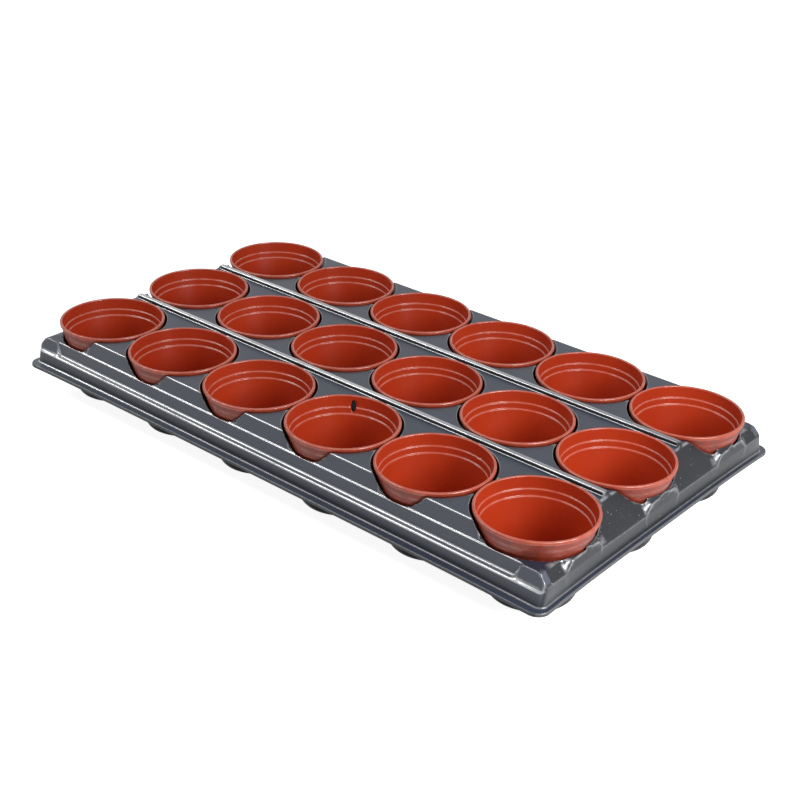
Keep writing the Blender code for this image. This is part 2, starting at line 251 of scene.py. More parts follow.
def tab_side(x, across, z):
    """Distance outside the splayed side of a tab: the plane through three of its corners."""
    a = np.array((TAB_TOP_X, TAB_OUTER, LANDING))
    b = np.array((RAMP_LANDING_X, TAB_INNER, LANDING))
    c = np.array((RAMP_FOOT_X, TAB_INNER, END_EDGE))
    normal = np.cross(c - a, b - a)
    normal /= np.linalg.norm(normal)
    normal *= np.sign(normal[0])
    return (x - b[0]) * normal[0] + (across - b[1]) * normal[1] + (z - b[2]) * normal[2]


def tray_solid(x, y, z, soft=1.0):
    """Signed distance to the top of the tray, below zero in the sheet's lump.

    Half-spaces are met and joined with rounded edges: the deck and its slanted faces, the landing
    and the long walls with their corner blocks, the ramps with the tabs, the ledge, the skirt and
    the flange.  The cells are cut from that, and the ridges are joined to it.  The radii of the
    edges are multiplied by soft.
    """
    ax = np.abs(x)
    ay = np.abs(y)
    upper = meet(z - DECK, slope(ay, z, (DECK_EDGE_Y, DECK), (SLANT_FOOT_Y, LANDING)), EDGE * soft)
    upper = np.maximum(upper, np.minimum(ax - END_POT, ay - SIDE_POT))
    block_face = slope(ay, z, (BLOCK_TOP_Y, LANDING), (BLOCK_FOOT_Y, LEDGE))
    block_back = slope(-ax, z, (-BLOCK_START_X, LANDING), (BLOCK_LEAN - BLOCK_START_X, LEDGE))
    wall = slope(ay, z, (WALL_TOP_Y, LANDING), (WALL_FOOT_Y, LEDGE))
    wall = join(wall, meet(block_face, block_back, BLOCK_EDGE * soft), BLOCK_EDGE * soft)
    body = join(upper, meet(z - LANDING, wall, EDGE * soft), CREASE * soft)

    across = np.where(ay < 0.5 * PITCH_Y, ay, np.abs(ay - PITCH_Y))
    from_pot = np.hypot(ax - END_POT, across)
    cosine = (ax - END_POT) / np.maximum(from_pot, 1.0)
    at_tab = np.clip((cosine - TAB_COSINE) / TAB_COSINE_FADE, 0.0, 1.0)
    raised = COLLAR * at_tab * np.clip(1.0 - (from_pot - CELL_TAB) / COLLAR_SPREAD, 0.0, 1.0)
    cap = np.where(ay < SIDE_POT, z - LANDING - raised, -FAR)
    tab = meet(tab_side(ax, across, z), cap, EDGE * soft)
    ramp = slope(ax, z, (RAMP_TOP_X, DECK), (RAMP_FOOT_X, END_EDGE))
    corner = RAMP_EDGE - RAMP_EDGE_LESS * np.clip((ay - 141.0) / 3.0, 0.0, 1.0)
    body = meet(body, join(ramp, tab, TAB_FILLET * soft), corner * soft)

    fillet = LEDGE_FILLET - LEDGE_FILLET_LESS * np.clip((ax - BLOCK_START_X) / 2.0, 0.0, 1.0)
    body = join(body, z - LEDGE, fillet * soft)
    half_x = END_WALL_FOOT_X - END_DRAFT * (z - FLANGE)
    half_y = LEDGE_EDGE_Y - SKIRT_DRAFT_Y * (z - LEDGE)
    turn = np.clip(0.5 + (ay - half_y - ax + half_x) / SKIRT_CORNER, 0.0, 1.0)
    skirt = STEEP * rounded_box(ax, ay, half_x, half_y, SKIRT_CORNER)
    body = meet(body, skirt, (EDGE + LEDGE_EDGE_MORE * turn) * soft)
    rim = STEEP * from_rim(x, y) + RIM_LEAN * (z - LIP_FOOT)
    body = join(body, meet(z - FLANGE_TOP, rim, EDGE * soft), FOOT_FILLET * soft)

    column, dx, dy = from_cell(x, y)
    end_cell = column > 1.5
    next_dx = np.where(end_cell & (dx > 0.0), 2.0 * FAR, np.abs(dx) - PITCH_X)
    rho = np.hypot(dx, dy)
    held = at_tab * end_cell
    hole = np.minimum(bore(rho, z), CELL_TAB - rho + CELL_WIDER * (1.0 - held))
    body = meet(body, hole, (CELL_EDGE - CELL_EDGE_LESS * held) * soft)
    body = meet(body, bore(np.hypot(next_dx, dy), z), SADDLE_EDGE * soft)

    beside = np.abs(ay - 0.5 * PITCH_Y)
    flank = slope(beside, z, (RIDGE_TOP_HALF, RIDGE_TOP), (RIDGE_BASE_HALF, DECK))
    nose = slope(ax, z, (RAMP_TOP_X - RIDGE_NOSE, RIDGE_TOP), (RAMP_TOP_X, DECK))
    ridge = meet(meet(z - RIDGE_TOP, flank, RIDGE_EDGE * soft), nose, EDGE * soft)
    ridge = np.maximum(ridge, DECK - RIDGE_SUNK - z)
    return join(body, ridge, CREASE * soft)


def height_of(solid, x, y):
    """The height at which a solid ends above each place, halving the span that holds it."""
    low = np.zeros_like(x)
    high = np.full_like(x, 80.0)
    for _ in range(32):
        middle = 0.5 * (low + high)
        inside = solid(x, y, middle) < 0.0
        low = np.where(inside, middle, low)
        high = np.where(inside, high, middle)
    return 0.5 * (low + high)


def side_height(y):
    """Height of the tray's top across its long side, on the saddle between two cells."""
    return height_of(tray_solid, np.full_like(y, PITCH_X), y)


def end_height(x):
    """Height of the tray's top along its end, beside a tab."""
    return height_of(tray_solid, x, np.full_like(x, 44.0))


def facing(solid, x, y, z):
    """Unit normals of a solid's surface, from the differences of its distance on each axis."""
    h = 0.004
    grad = np.stack((
        solid(x + h, y, z) - solid(x - h, y, z),
        solid(x, y + h, z) - solid(x, y - h, z),
        solid(x, y, z + h) - solid(x, y, z - h)), axis=-1)
    return grad / np.linalg.norm(grad, axis=-1, keepdims=True)


def edge_share(x, y, z, normal):
    """How deep in a rounded edge each place lies, which sets the painted edge highlight: 0 on the
    faces, 1 where the edge turns most.

    It is the angle between the normals of the rounded solid and of its sharp twin, 5 degrees and
    less giving 0 and 20 degrees and more giving 1, times a share for each stretch where the painted
    highlight is dimmer.  The ledge's flat top gets a little painted highlight too, more so towards
    the left end, and the ridges' crowns get it in full, and less towards the right end.
    """
    sharp = facing(lambda px, py, pz: tray_solid(px, py, pz, 0.02), x, y, z)
    angle = np.degrees(np.arccos(np.clip(np.sum(normal * sharp, axis=-1), -1.0, 1.0)))
    share = np.clip((angle - 5.0) / 15.0, 0.0, 1.0)
    ax, ay = np.abs(x), np.abs(y)
    left = np.clip(-x / 200.0, 0.0, 1.0)
    right = np.clip(x / 150.0, 0.0, 1.0)
    rho = from_axis(x, y)
    at_block = (ay > 143.9) & (z > LEDGE + 1.2)
    # Stretches where the painted edge highlight is dimmer, and by how much
    dimmer_highlight = (
        # the flange's rim
        (from_rim(x, y) > -1.6, 0.15),
        # the lower edge of the ends, and the whole of the ramps and tabs
        ((ax > 270.0) & (np.abs(z - END_EDGE) < 1.5), 0.45),
        ((ax > 252.5) & (ay < 146.5), 0.5),
        # the mouths of the cells
        ((z > 55.0) & (np.abs(rho - CELL_MOUTH) < 1.3), 0.5),
        # the corner blocks' inner and outer edges
        (at_block & (np.abs(ax - 250.0) < 3.0), 0.3),
        (at_block & (ax > 262.0), 0.6),
        # the foot of the skirt
        (np.abs(z - FLANGE_TOP - 0.7) < 0.8, 0.3 + 0.7 * left ** 2),
        # the ridges' flanks
        ((z > DECK + 0.9) & (z < RIDGE_TOP - 0.75), 0.0))
    for stretch, factor in dimmer_highlight:
        share *= np.where(stretch, factor, 1.0)
    # A little painted highlight on the ledge's flat top, more towards the left end
    ledge_top = (np.abs(z - LEDGE) < 0.05) & (ay > 145.0) & (ay < LEDGE_EDGE_Y)
    share = np.where(ledge_top, np.maximum(share, 0.22 + 0.5 * left), share)
    # Painted highlight in full on the ridges' crowns, less towards the right end
    return np.where(z > RIDGE_TOP - 0.45, 1.0 - 0.6 * right, share)


def stations(low, high, section, count=None, reach=9.0, bend=12.0):
    """Places along a section, close together where it bends.

    The length over reach, and the turn over bend degrees, are added up along the section, and the
    places share that sum evenly.  The turn is averaged over 0.6 mm either way, so that some of the
    places lie just beside each bend.
    """
    u = np.linspace(low, high, 3001)
    z = section(u)
    step_u = np.diff(u)
    step_z = np.diff(z)
    angle = np.arctan2(step_z, step_u)
    turn = np.abs(np.diff(angle, append=angle[-1]))
    length = np.concatenate(([0.0], np.cumsum(np.hypot(step_u, step_z))))
    turned = np.concatenate(([0.0], np.cumsum(turn)))
    shifts = np.linspace(-0.6, 0.6, 9)
    spread = np.mean([np.interp(length + shift, length, turned) for shift in shifts], axis=0)
    total = (length - length[0]) / reach + (spread - spread[0]) / math.radians(bend)
    if count is None:
        count = int(math.ceil(total[-1])) + 1
    return np.interp(np.linspace(0.0, total[-1], count), total, u)


def cell_rows():
    """Circles round every cell, (row, place round the circle), and arcs round the end collars."""
    def section(rho):
        return height_of(lambda r, _, z: meet(z - DECK, bore(r, z), EDGE), rho, rho)

    radii = np.concatenate((
        (CELL_DRAIN, 12.0, 20.0),
        stations(26.5, 33.5, section, 7),
        (36.5, 39.5),
        stations(41.0, 49.2, section, 13)))
    angle = full_turn(64)
    ring_x = radii[:, None] * np.cos(angle)
    ring_y = radii[:, None] * np.sin(angle)
    keep = (np.abs(ring_x) < 0.5 * PITCH_X + 0.3) & (np.abs(ring_y) < 0.5 * PITCH_Y + 0.3)
    blocks = []
    for row in (-1.0, 0.0, 1.0):
        for column in (-2.5, -1.5, -0.5, 0.5, 1.5, 2.5):
            blocks.append((ring_x + column * PITCH_X, ring_y + row * PITCH_Y, keep, True))
    radii = np.linspace(41.9, 44.3, 11)[:, None]
    angle = np.radians(np.linspace(-33.0, 33.0, 45))
    collar_x = END_POT + radii * np.cos(angle)
    collar_y = radii * np.sin(angle)
    keep = collar_x < TAB_TOP_X + 0.1
    for sign in (-1.0, 1.0):
        for row in (-1.0, 0.0, 1.0):
            blocks.append((sign * collar_x, row * PITCH_Y + collar_y, keep, False))
    return blocks


def loop_rows():
    """Rounded loops from the flange's edge up over the skirt, matched on the sides and the ends."""
    half_y = np.concatenate((stations(155.0, FLANGE_Y, side_height, 9)[::-1],
                             stations(150.8, 155.0, side_height, 12)[-2::-1],
                             stations(147.6, 150.8, side_height, 13)[-2::-1]))
    half_x = np.concatenate((stations(274.6, FLANGE_X, end_height, 9)[::-1],
                             stations(271.8, 274.6, end_height, 12)[-2::-1],
                             stations(270.4, 271.8, end_height, 13)[-2::-1]))
    corner = np.interp(half_y, (147.6, 151.75, 155.0, FLANGE_Y), (4.5, 6.0, 7.5, FLANGE_CORNER))
    corner = corner[:, None]
    turn = np.linspace(0.0, 0.5 * math.pi, 11)
    arc_x = half_x[:, None] - corner + corner * np.cos(turn)
    arc_y = half_y[:, None] - corner + corner * np.sin(turn)
    share = np.linspace(1.0, -1.0, 91)[1:-1]
    side_x = share * (half_x[:, None] - corner)
    side_y = np.repeat(half_y[:, None], share.size, axis=1)
    share = np.linspace(1.0, -1.0, 49)[1:-1]
    end_y = share * (half_y[:, None] - corner)
    end_x = np.repeat(-half_x[:, None], share.size, axis=1)
    half_loop_x = np.concatenate((arc_x, side_x, -arc_x[:, ::-1], end_x), axis=1)
    half_loop_y = np.concatenate((arc_y, side_y, arc_y[:, ::-1], end_y), axis=1)
    x = np.concatenate((half_loop_x, -half_loop_x), axis=1)
    y = np.concatenate((half_loop_y, -half_loop_y), axis=1)
    return [(x, y, np.ones(x.shape, dtype=bool), True)]


def straight_rows():
    """Straight rows along the walls, the ramps, the tabs, the ridges and the saddles."""
    blocks = []

    def add(rows, along, axis):
        first, second = np.meshgrid(along, rows)
        keep = np.ones(first.shape, dtype=bool)
        if axis == "x":
            blocks.append((first, second, keep, False))
        else:
            blocks.append((second, first, keep, False))

    side = stations(137.0, 147.6, side_height)
    ramp = stations(247.0, 270.4, end_height, bend=8.0)
    tab = stations(270.1, 271.7, lambda x: height_of(tray_solid, x, np.zeros_like(x)))
    ridge = stations(0.0, 4.2, lambda y: side_height(y + 0.5 * PITCH_Y))
    for sign in (-1.0, 1.0):
        add(sign * side, np.linspace(-266.0, 266.0, 107), "x")
        add(sign * ramp, np.linspace(-146.0, 146.0, 61), "y")
        for row in (-PITCH_Y, 0.0, PITCH_Y):
            add(sign * tab, row + np.linspace(-20.0, 20.0, 15), "y")
        middle = sign * 0.5 * PITCH_Y
        add(middle + np.concatenate((-ridge[:0:-1], ridge)), np.linspace(-256.0, 256.0, 87), "x")
    for line in (-2.0, -1.0, 0.0, 1.0, 2.0):
        for row in (-PITCH_Y, 0.0, PITCH_Y):
            add(line * PITCH_X + np.linspace(-1.5, 1.5, 9), row + np.linspace(-13.0, 13.0, 17), "y")
    return blocks


def needed(x, y, keep, closed):
    """Places of a block of rows where the surface turns, and the edges along the rows.

    A place counts where the surface turns by more than 2.5 degrees from its row to the next, and
    the whole first row counts where the rows are closed.
    """
    shape = x.shape
    flat_x = x.ravel()
    flat_y = y.ravel()
    z = height_of(tray_solid, flat_x, flat_y)
    normal = facing(tray_solid, flat_x, flat_y, z).reshape(shape + (3,))
    cosine = np.sum(normal[1:] * normal[:-1], axis=-1)
    bent = cosine < math.cos(math.radians(2.5))
    use = np.zeros(shape, dtype=bool)
    use[1:] |= bent
    use[:-1] |= bent
    use[0] |= closed
    use &= keep
    index = np.cumsum(use.ravel()).reshape(shape) - 1
    after = np.roll(index, -1, axis=1)
    both = use & np.roll(use, -1, axis=1)
    if not closed:
        both[:, -1] = False
    edges = np.stack((index[both], after[both]), axis=-1)
    return np.stack((x[use], y[use]), axis=-1), edges


def section_lengths():
    """Length of the tray's section up to each place, along an end and along a side."""
    x = np.arange(0.0, FLANGE_X + 1.0, 0.01)
    y = np.arange(0.0, FLANGE_Y + 1.0, 0.01)
    lengths = []
    for place, z, start in ((x, end_height(x), 253.0), (y, side_height(y), 140.0)):
        rise = np.where(place[1:] > start, np.diff(z), 0.0)
        lengths.append((place, np.concatenate(([0.0], np.cumsum(np.hypot(np.diff(place), rise))))))
    return lengths


def unfold(points, lengths):
    """Places with the steep sides laid out flat: x and y become lengths along their sections."""
    out = [np.sign(u) * np.interp(np.abs(u), *pair) for u, pair in zip(points.T, lengths)]
    return np.stack(out, axis=-1)


def fold(points, lengths):
    """The way back from unfold."""
    out = [np.sign(u) * np.interp(np.abs(u), *pair[::-1]) for u, pair in zip(points.T, lengths)]
    return np.stack(out, axis=-1)


def triangulate(points, edges):
    """Delaunay triangles in the unfolded plan that keep the given edges."""
    made = delaunay_2d_cdt(list(map(Vector, points.tolist())), edges.tolist(), [], 0, 0.02, False)
    places = np.array([tuple(v) for v in made[0]])
    triangles = np.array(made[2])
    a, b, c = (places[triangles[:, k]] for k in range(3))
    area = (b[:, 0] - a[:, 0]) * (c[:, 1] - a[:, 1]) - (b[:, 1] - a[:, 1]) * (c[:, 0] - a[:, 0])
    triangles = triangles[np.abs(area) > 1e-7]
    area = area[np.abs(area) > 1e-7]
    triangles[area < 0.0] = triangles[area < 0.0][:, ::-1]
    return places, triangles


def edges_of(triangles):
    """Every edge of the triangles once, as pairs of places."""
    pairs = np.concatenate((triangles[:, (0, 1)], triangles[:, (1, 2)], triangles[:, (2, 0)]))
    return np.unique(np.sort(pairs, axis=1), axis=0)


def worst_edges(places, triangles, lengths, tolerance):
    """Middles of the edges worth halving, the worst first.

    Those are the edges whose middle the surface leaves by more than the tolerance, or along which
    it turns by more than 22 degrees, if they are longer than 0.45 mm and halving them leaves the
    flange's outline and the drain holes' circles alone.
    """
    pairs = edges_of(triangles)
    plan = fold(places, lengths)
    z = height_of(tray_solid, plan[:, 0], plan[:, 1])
    normal = facing(tray_solid, plan[:, 0], plan[:, 1], z)
    first, second = pairs[:, 0], pairs[:, 1]
    halves = 0.5 * (places[first] + places[second])
    middle = fold(halves, lengths)
    true = height_of(tray_solid, middle[:, 0], middle[:, 1])
    here = np.column_stack((plan, z))
    along = here[second] - here[first]
    span = np.linalg.norm(along, axis=-1)
    lifted = np.column_stack((middle, true)) - here[first]
    off = np.linalg.norm(np.cross(lifted, along), axis=-1) / np.maximum(span, 1e-6)
    turned = np.sum(normal[first] * normal[second], axis=-1) < math.cos(math.radians(22.0))
    past_drain = from_axis(middle[:, 0], middle[:, 1]) > CELL_DRAIN + 0.3
    beyond = np.abs(middle) > (FLANGE_X - FLANGE_CORNER, FLANGE_Y - FLANGE_CORNER)
    clear = np.where(beyond.all(axis=1), 0.30, 0.001)
    within = from_rim(middle[:, 0], middle[:, 1]) < -clear
    on_rim = from_rim(plan[:, 0], plan[:, 1]) > -0.01
    within &= ~(on_rim[first] & on_rim[second])
    worth = ((off > tolerance) | turned) & (span > 0.45) & past_drain & within
    score = (off + 0.02 * turned) * worth
    return halves[np.argsort(-score)[:int(worth.sum())]]


def tray_plan():
    """Places and triangles of the tray's top: rows along its features, then halved edges.

    The worst edges are halved, to a finer tolerance each time, until the places run out.  All of
    it is done in the unfolded plan, so that the steep walls get triangles of a good shape.  The
    flange's outline is hollow at the corners of that plan, so the triangles between three of its
    places lie outside it and go.
    """
    lengths = section_lengths()
    points = []
    edges = []
    count = 0
    for block in cell_rows() + loop_rows() + straight_rows():
        block_points, block_edges = needed(*block)
        points.append(block_points)
        edges.append(block_edges + count)
        count += len(block_points)
    points = unfold(np.concatenate(points), lengths)
    edges = np.concatenate(edges)
    limit = PLACES
    for tolerance in (0.10, 0.06, 0.04, 0.03):
        places, triangles = triangulate(points, edges)
        halves = worst_edges(places, triangles, lengths, tolerance)
        room = limit - len(places)
        if room <= 0 or len(halves) == 0:
            break
        points = np.concatenate((points, halves[:room]))
    places, triangles = triangulate(points, edges)
    plan = fold(places, lengths)
    on_rim = from_rim(plan[:, 0], plan[:, 1]) > -0.01
    return plan, triangles[~on_rim[triangles].all(axis=1)]


def draw_in(points):
    """The skirt's foot and the flange drawn in towards the middle of each side.

    Each goes in by its bow times (1 - s^4), s running from -1 to 1 along the side, and by less and
    less up the skirt to nothing at the ledge, or at the landing on the ends.  The cells stay where
    they are.
    """
    x, y, z = points.T
    low = np.clip((LEDGE - z) / (LEDGE - FLANGE), 0.0, 1.0)
    end_low = np.clip((LANDING - z) / (LANDING - FLANGE), 0.0, 1.0)
    side = np.clip((np.abs(y) - 143.5) / 5.0, 0.0, 1.0)
    end = np.clip((np.abs(x) - 268.8) / 1.6, 0.0, 1.0)
    along_x = np.clip(x / (END_WALL_FOOT_X - SKIRT_CORNER), -1.0, 1.0)
    along_y = np.clip(y / (SLANT_FOOT_Y + 4.0), -1.0, 1.0)
    moved_x = x - np.sign(x) * END_BOW * (1.0 - along_y ** 4) * end_low * end
    moved_y = y - np.sign(y) * SIDE_BOW * (1.0 - along_x ** 4) * low * side
    return np.stack((moved_x, moved_y, z), axis=-1)


def carried_normals(points, normal):
    """Normals after draw_in: the cross product of two tangent steps carried with the points."""
    helper = np.where(np.abs(normal[:, 2:]) < 0.9, (0.0, 0.0, 1.0), (1.0, 0.0, 0.0))
    first = np.cross(helper, normal)
    first /= np.linalg.norm(first, axis=-1, keepdims=True)
    second = np.cross(normal, first)
    here = draw_in(points)
    out = np.cross(draw_in(points + 0.01 * first) - here, draw_in(points + 0.01 * second) - here)
    return out / np.linalg.norm(out, axis=-1, keepdims=True)


def write_mesh(name, verts, faces, corner_normals=None):
    """A smooth mesh in metres from verts in millimetres, with its own normals if they are given."""
    mesh = bpy.data.meshes.new(name)
    mesh.from_pydata((verts * MM).tolist(), [], faces)
    mesh.shade_smooth()
    if corner_normals is not None:
        mesh.normals_split_custom_set(corner_normals.tolist())
    obj = bpy.data.objects.new(name, mesh)
    bpy.context.scene.collection.objects.link(obj)
    return obj


def formed_tray():
    """The tray as one closed thin sheet.

    The top lies at the height of tray_solid over every place of the plan.  The underside is the top
    moved back along its normals by the sheet's thickness, which is a little more on the cells'
    floors and less at the end tabs.  A band of faces closes the sheet at the edge of the flange and
    round every drain hole.  The underside's faces take the second finish.  Two shares are kept on
    the mesh for the finishes: how deep in a rounded edge a place lies, which sets the painted edge
    highlights, and how level it is, which sets the painted reflection on the level faces.
    """
    places, triangles = tray_plan()
    x, y = places.T
    at_drain = from_axis(x, y) < CELL_DRAIN + 0.05
    triangles = triangles[~at_drain[triangles].all(axis=1)]
    used = np.unique(triangles)
    renumber = np.zeros(len(places), dtype=int)
    renumber[used] = np.arange(len(used))
    triangles = renumber[triangles]
    x, y = x[used], y[used]
    z = height_of(tray_solid, x, y)
    top = np.stack((x, y, z), axis=-1)
    normal = facing(tray_solid, x, y, z)
    thick = SHEET + (FLOOR - SHEET) * np.clip((6.0 - z) / 3.0, 0.0, 1.0)
    at_tabs = np.clip((np.abs(x) - 266.0) / 2.0, 0.0, 1.0) * np.clip((z - 44.0) / 4.0, 0.0, 1.0)
    thick -= TAB_THINNER * at_tabs
    under = top - normal * thick[:, None]
    top_normal = carried_normals(top, normal)
    under_normal = -carried_normals(under, normal)

    directed = np.concatenate((triangles[:, (0, 1)], triangles[:, (1, 2)], triangles[:, (2, 0)]))
    key = directed[:, 0] * len(x) + directed[:, 1]
    back = directed[:, 1] * len(x) + directed[:, 0]
    rim = directed[~np.isin(key, back)]
    count = len(x)
    band = np.stack((rim[:, 1], rim[:, 0], rim[:, 0] + count, rim[:, 1] + count), axis=-1)
    verts = np.concatenate((draw_in(top), draw_in(under)))
    faces = triangles.tolist() + (triangles[:, ::-1] + count).tolist() + band.tolist()
    corners = verts[band]
    band_normal = np.cross(corners[:, 2] - corners[:, 0], corners[:, 3] - corners[:, 1])
    band_normal /= np.linalg.norm(band_normal, axis=-1, keepdims=True)
    normals = np.concatenate((
        top_normal[triangles.ravel()],
        under_normal[triangles[:, ::-1].ravel()],
        np.repeat(band_normal, 4, axis=0)))
    obj = write_mesh("formed_tray", verts, faces, normals)
    beneath = np.zeros(len(faces), dtype=np.int32)
    beneath[len(triangles):2 * len(triangles)] = 1
    obj.data.polygons.foreach_set("material_index", beneath)
    level = np.clip((normal[:, 2] - 0.90) / 0.08, 0.0, 1.0)
    for label, values in (("edge", edge_share(x, y, z, normal)), ("level", level)):
        attribute = obj.data.attributes.new(label, "FLOAT", "POINT")
        attribute.data.foreach_set("value", np.concatenate((values, np.zeros(count))))
    return obj


def rounded_profile(corners, steps):
    """A run of (radius, height) with each inner corner, (radius, height, fillet), drawn as an arc.

    The arc starts and ends where it touches the corner's two sides: at fillet / tan(half the
    corner's angle) from the corner, and it is swept between them round its centre.
    """
    points = [np.array(corners[0][:2])]
    for before, corner, after in zip(corners, corners[1:], corners[2:]):
        here = np.array(corner[:2])
        to_before = np.array(before[:2]) - here
        to_after = np.array(after[:2]) - here
        to_before /= np.linalg.norm(to_before)
        to_after /= np.linalg.norm(to_after)
        half = 0.5 * math.acos(np.clip(np.dot(to_before, to_after), -1.0, 1.0))
        start = here + to_before * corner[2] / math.tan(half)
        finish = here + to_after * corner[2] / math.tan(half)
        bisector = to_before + to_after
        centre = here + bisector / np.linalg.norm(bisector) * corner[2] / math.sin(half)
        first = start - centre
        last = finish - centre
        sweep = math.pi - 2.0 * half
        share = np.linspace(0.0, 1.0, steps)[:, None]
        arc = np.sin((1.0 - share) * sweep) * first + np.sin(share * sweep) * last
        points.extend(centre + arc / math.sin(sweep))
    points.append(np.array(corners[-1][:2]))
    return np.array(points)


def pot_profile():
    """The pot's outline: out along its base, up its outside, over the lip and down its inside."""
    outside = [
        (0.0, 0.0, 0.0),
        (30.3, 0.0, 4.2),
        (40.72, 51.0, 0.35),
        (41.52, 51.7, 0.45),
        (42.55, 57.3, 0.25),
        (42.95, 57.7, 0.35),
        (43.85, 62.9, 0.45),
        (44.95, 63.2, 0.8),
        (45.0, 66.0, 0.95),
        (42.85, 66.0, 0.75),
    ]
    inside = [
        (41.75, 56.7, 0.45),
        (40.95, 56.1, 0.45),
        (40.25, 51.6, 0.45),
        (39.35, 50.9, 0.45),
        (29.2, 1.25, 3.2),
        (0.0, 1.2, 0.0),
    ]
    return rounded_profile(outside + inside, 6)


def cutting_bar(name, ring, near, far):
    """A closed straight bar for cutting: the ring carried from near to far, and capped."""
    verts = np.concatenate((ring + near, ring + far))
    place = np.arange(BAR_SIDES)
    after = np.roll(place, -1)
    sides = np.stack((place, after, after + BAR_SIDES, place + BAR_SIDES), axis=-1).tolist()
    caps = [place[::-1].tolist(), (place + BAR_SIDES).tolist()]
    return write_mesh(name, verts, sides + caps)


def drain_drill(turn):
    """An upright round rod through the pot's base, at that turn about the pot's axis."""
    angle = full_turn(BAR_SIDES)
    ring = DRAIN_RADIUS * np.stack((np.cos(angle), np.sin(angle), np.zeros(BAR_SIDES)), axis=-1)
    ring += (DRAIN_OUT * math.cos(turn), DRAIN_OUT * math.sin(turn), 0.0)
    return cutting_bar("pot drill", ring, (0.0, 0.0, -DRAIN_REACH), (0.0, 0.0, DRAIN_REACH))


def slot_cutter():
    """A bar across the pot's upper band whose section is an upright ellipse."""
    out = np.array((math.cos(SLOT_TURN), math.sin(SLOT_TURN), 0.0))
    aside = np.array((-math.sin(SLOT_TURN), math.cos(SLOT_TURN), 0.0))
    angle = full_turn(BAR_SIDES)
    ring = np.outer(SLOT_HALF_WIDTH * np.cos(angle), aside)
    ring += np.outer(SLOT_HALF_HEIGHT * np.sin(angle), (0.0, 0.0, 1.0))
    ring += (0.0, 0.0, SLOT_HEIGHT)
    return cutting_bar("pot slot", ring, SLOT_INNER * out, SLOT_OUTER * out)


def turned_pot(slotted):
    """One pot about the Z axis, its profile turned in even steps, and its drain holes cut.

    Rings lie at every place of the profile, and every 7 mm, or 0.8 mm from the bands up.  The
    slotted pot also has a small upright slot through its upper band.
    """
    profile = pot_profile()
    long_side = np.linalg.norm(np.diff(profile, axis=0), axis=1)
    path = np.concatenate(([0.0], np.cumsum(long_side)))
    even = np.arange(0.0, path[-1], 0.8)
    near_lip = np.interp(even, path, profile[:, 1]) > 49.5
    places = np.unique(np.concatenate((path, np.arange(0.0, path[-1], 7.0), even[near_lip])))
    radius = np.interp(places, path, profile[:, 0])[1:-1]
    height = np.interp(places, path, profile[:, 1])[1:-1]
    angle = full_turn(POT_STEPS)
    x = np.outer(radius, np.cos(angle))
    y = np.outer(radius, np.sin(angle))
    z = np.repeat(height[:, None], POT_STEPS, axis=1)
    verts = np.stack((x, y, z), axis=-1).reshape(-1, 3)
    poles = np.array(((0.0, 0.0, profile[0, 1]), (0.0, 0.0, profile[-1, 1])))
    count = len(verts)
    place = np.arange(count).reshape(-1, POT_STEPS)
    after = np.roll(place, -1, axis=1)
    quads = np.stack((place[:-1], after[:-1], after[1:], place[1:]), axis=-1).reshape(-1, 4)
    foot = np.stack((np.full(POT_STEPS, count), after[0], place[0]), axis=-1)
    floor = np.stack((np.full(POT_STEPS, count + 1), place[-1], after[-1]), axis=-1)
    faces = quads.tolist() + foot.tolist() + floor.tolist()
    obj = write_mesh("pot form", np.concatenate((verts, poles)), faces)
    cutters = [drain_drill(0.5 * math.pi * quarter) for quarter in range(4)]
    if slotted:
        cutters.append(slot_cutter())
    for cutter in cutters:
        cut = obj.modifiers.new("drain", "BOOLEAN")
        cut.operation = "DIFFERENCE"
        cut.solver = "EXACT"
        cut.object = cutter
    finished = obj.evaluated_get(bpy.context.evaluated_depsgraph_get())
    mesh = bpy.data.meshes.new_from_object(finished)
    for spare in cutters + [obj]:
        bpy.data.objects.remove(spare, do_unlink=True)
    return mesh


def placed_pot(form, node):
    """A pot of that form standing where its node stands, its own mesh moved into place.

    Three shares are kept on its mesh for its finish: how far outside the middle of the wall a place
    lies, how far up and out on the lip, and how near a crisp bend.  The last two set painted
    highlights.
    """
    low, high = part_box(node)
    mesh = form.copy()
    mesh.name = "turned_" + node
    verts = np.empty(len(mesh.vertices) * 3)
    mesh.vertices.foreach_get("co", verts)
    verts = verts.reshape(-1, 3)
    radius = np.hypot(verts[:, 0], verts[:, 1]) / MM
    height = verts[:, 2] / MM
    wall = np.interp(height, WALL_HEIGHTS, WALL_RADII)
    outer = np.clip((radius - wall) / 0.3 + 0.5, 0.0, 1.0)
    lip = np.clip((height - 62.6) / 1.2, 0.0, 1.0) * np.clip((radius - 42.9) / 0.6, 0.0, 1.0)
    from_bend = np.min([np.hypot(radius - out, height - up) for out, up in POT_BENDS], axis=0)
    bend = np.clip((0.95 - from_bend) / 0.45, 0.0, 1.0)
    for label, values in (("outer side", outer), ("lip", lip), ("bend", bend)):
        attribute = mesh.attributes.new(label, "FLOAT", "POINT")
        attribute.data.foreach_set("value", values)
    centre = (0.5 * (low[0] + high[0]), 0.5 * (low[1] + high[1]), low[2])
    mesh.vertices.foreach_set("co", (verts + centre).ravel())
    obj = bpy.data.objects.new("turned_" + node, mesh)
    bpy.context.scene.collection.objects.link(obj)
    return obj


